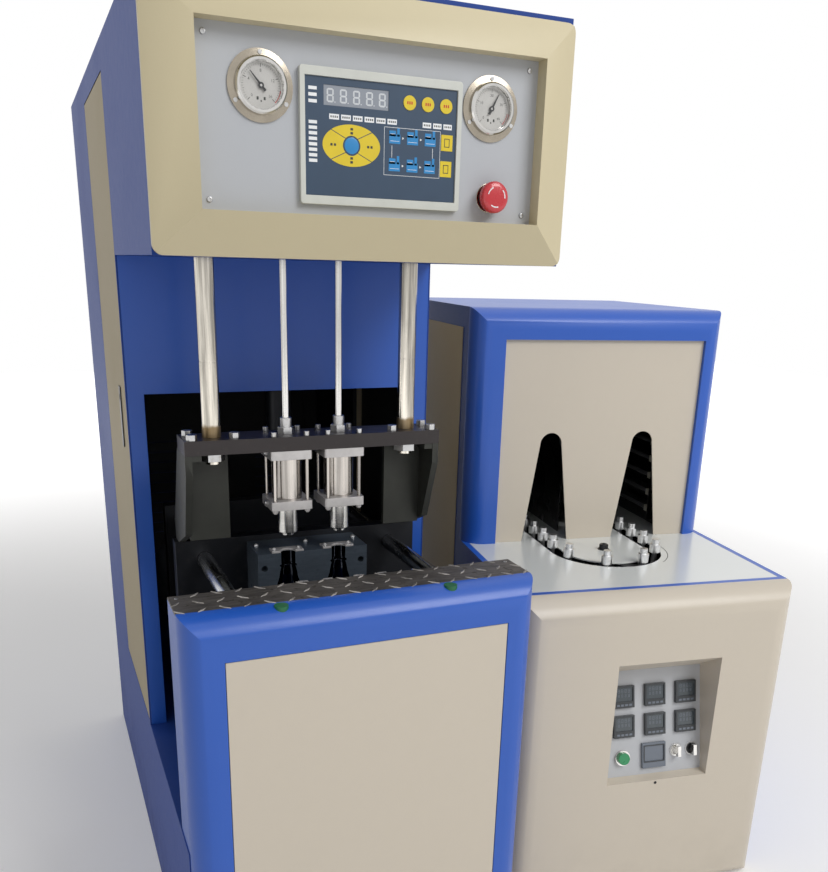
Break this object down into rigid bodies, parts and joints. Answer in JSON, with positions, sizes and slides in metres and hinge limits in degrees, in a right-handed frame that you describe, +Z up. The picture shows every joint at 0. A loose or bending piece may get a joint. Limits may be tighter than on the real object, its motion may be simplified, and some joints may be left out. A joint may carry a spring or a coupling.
{
  "type": "blow moulding machine",
  "caption": "Semi-automatic stretch blow moulding machine with a pull-rod clamp and sliding nozzles, beside an infrared preform heater with a chain conveyor.",
  "frame": {"origin": "on the floor, at the middle of the blowing cabinet's front plane, under the press", "axes": "+X right across the machine's front, +Y from the front to the back, +Z up from the floor"},
  "size_m": [1.3635, 1.2885, 1.608],
  "materials": {
    "blue_paint": "semi-gloss blue",
    "cream_paint": "satin cream",
    "panel_grey": "matt pale grey",
    "controller_white": "satin",
    "controller_navy": "printed membrane",
    "gauge_metal": "satin",
    "gauge_glass": "clear",
    "needle_black": "matt black",
    "stop_red": "gloss red",
    "chromed": "hard chrome",
    "zinc_fasteners": "zinc",
    "blackened_steel": "black oxide",
    "cylinder_metal": "anodised",
    "nozzle_steel": "turned",
    "mould_alloy": "machined, dull",
    "checker": "raised pattern",
    "start_green": "dark green",
    "tank_grey": "satin",
    "meter_green": "dark green",
    "button_green": "gloss",
    "switch_chrome": "polished",
    "table_white": "satin white",
    "quartz": "white quartz and ceramic",
    "reflector": "bright rolled",
    "frame_steel": "grey",
    "motor_blue": "machine blue",
    "chain_steel": "oiled"
  },
  "bodies": {
    "machine": {"blower_base": "blue_paint", "cabinet_shell": "blue_paint", "fixed_panels": "cream_paint", "front_sheet": "blue_paint", "head_shell": "blue_paint", "head_bezel": "cream_paint", "control_panel": "panel_grey", "controller_frame": "controller_white", "controller_face": "controller_navy", "gauges": "gauge_metal", "gauge_glasses": "gauge_glass", "guide_pillars": "chromed", "beam_fasteners": "zinc_fasteners", "crossbeam": "blackened_steel", "beam_brackets": "blackened_steel", "seal_cylinders": "cylinder_metal", "stretch_cylinder": "cylinder_metal", "rear_platen": "blackened_steel", "rear_mould_half": "mould_alloy", "clamp_cylinder": "cylinder_metal", "front_box": "blue_paint", "front_frame": "blue_paint", "front_panel": "cream_paint", "checker_plate": "checker", "air_tank": "tank_grey", "heater_cabinet": "blue_paint", "heater_cover": "cream_paint", "heater_panel": "cream_paint", "panel_meters": "meter_green", "conveyor_frame": "frame_steel", "drive_motor": "motor_blue", "table_top": "table_white", "table_centre": "table_white", "hood_frame": "blue_paint", "hood_panels": "cream_paint", "hood_shell": "blue_paint", "quartz_lamps": "quartz", "lamp_reflectors": "reflector"},
    "door": {"side_door": "cream_paint"},
    "needle_l": {"needle_left": "needle_black"},
    "needle_r": {"needle_right": "needle_black"},
    "stop": {"stop_button": "stop_red"},
    "seal_l": {"nozzle_left": "nozzle_steel"},
    "seal_r": {"nozzle_right": "nozzle_steel"},
    "stretch": {"stretch_beam": "blackened_steel", "stretch_rods": "chromed"},
    "carriage": {"front_platen": "blackened_steel", "front_mould_half": "mould_alloy", "tie_bars": "chromed", "tail_plate": "blackened_steel", "clamp_rod": "chromed"},
    "start_l": {"start_button_left": "start_green"},
    "start_r": {"start_button_right": "start_green"},
    "run_key": {"run_button": "button_green"},
    "switch_l": {"selector_left": "switch_chrome"},
    "switch_r": {"selector_right": "switch_chrome"},
    "front_wheel": {"front_chain_wheel": "chain_steel"},
    "rear_wheel": {"rear_chain_wheel": "chain_steel"},
    "left_run": {"chain_runs_left": "chain_steel"},
    "right_run": {"chain_runs_right": "chain_steel"}
  },
  "joints": [
    {"name": "side_door_hinge", "type": "hinge", "parent": "machine", "child": "door", "pos_m": [-0.295, 0.382, 0.9], "axis": [0, 0, -1], "range_deg": [0, 110]},
    {"name": "left_gauge_needle", "type": "hinge", "parent": "machine", "child": "needle_l", "pos_m": [-0.157, -0.493, 1.48], "axis": [0, 1, 0], "range_deg": [-93, 177], "stiffness_Nm_per_rad": 0.01},
    {"name": "right_gauge_needle", "type": "hinge", "parent": "machine", "child": "needle_r", "pos_m": [0.167, -0.493, 1.48], "axis": [0, 1, 0], "range_deg": [-163, 107], "stiffness_Nm_per_rad": 0.01},
    {"name": "emergency_stop_push", "type": "slide", "parent": "machine", "child": "stop", "axis": [0, 1, 0], "range_m": [0, 0.005]},
    {"name": "left_nozzle_slide", "type": "slide", "parent": "machine", "child": "seal_l", "axis": [0, 0, -1], "range_m": [0, 0.036]},
    {"name": "right_nozzle_slide", "type": "slide", "parent": "machine", "child": "seal_r", "axis": [0, 0, -1], "range_m": [0, 0.036]},
    {"name": "stretch_slide", "type": "slide", "parent": "machine", "child": "stretch", "axis": [0, 0, -1], "range_m": [0, 0.245]},
    {"name": "clamp_slide", "type": "slide", "parent": "machine", "child": "carriage", "axis": [0, 1, 0], "range_m": [0, 0.17]},
    {"name": "left_start_push", "type": "slide", "parent": "machine", "child": "start_l", "axis": [0, 0, -1], "range_m": [0, 0.004], "stiffness_N_per_m": 300, "springref_m": -0.002},
    {"name": "right_start_push", "type": "slide", "parent": "machine", "child": "start_r", "axis": [0, 0, -1], "range_m": [0, 0.004], "stiffness_N_per_m": 300, "springref_m": -0.002},
    {"name": "heater_run_push", "type": "slide", "parent": "machine", "child": "run_key", "axis": [0.149, 0.9625, -0.2265], "range_m": [0, 0.004], "stiffness_N_per_m": 300, "springref_m": -0.002},
    {"name": "left_switch_turn", "type": "hinge", "parent": "machine", "child": "switch_l", "pos_m": [0.70612, -0.41957, 0.32786], "axis": [0.149, 0.9625, -0.2265], "range_deg": [-45, 45]},
    {"name": "right_switch_turn", "type": "hinge", "parent": "machine", "child": "switch_r", "pos_m": [0.7417, -0.42507, 0.32786], "axis": [0.149, 0.9625, -0.2265], "range_deg": [-45, 45]},
    {"name": "conveyor_index", "type": "hinge", "parent": "machine", "child": "front_wheel", "pos_m": [0.67597, -0.14367, 0.625], "axis": [0, 0, 1], "range_deg": [-22.5, 22.5]},
    {"name": "rear_wheel_turn", "type": "hinge", "parent": "machine", "child": "rear_wheel", "pos_m": [0.74592, 0.30814, 0.625], "axis": [0, 0, 1], "range_deg": [-22.5, 22.5]},
    {"name": "left_run_travel", "type": "slide", "parent": "machine", "child": "left_run", "axis": [0.153, 0.9882, 0], "range_m": [-0.02866, 0.02866]},
    {"name": "right_run_travel", "type": "slide", "parent": "machine", "child": "right_run", "axis": [0.153, 0.9882, 0], "range_m": [-0.02866, 0.02866]}
  ],
  "couplings": [
    {"joint": "rear_wheel_turn", "follows": "conveyor_index", "ratio": 1},
    {"joint": "left_run_travel", "follows": "conveyor_index", "m_per_rad": -0.072974},
    {"joint": "right_run_travel", "follows": "conveyor_index", "m_per_rad": 0.072974}
  ]
}
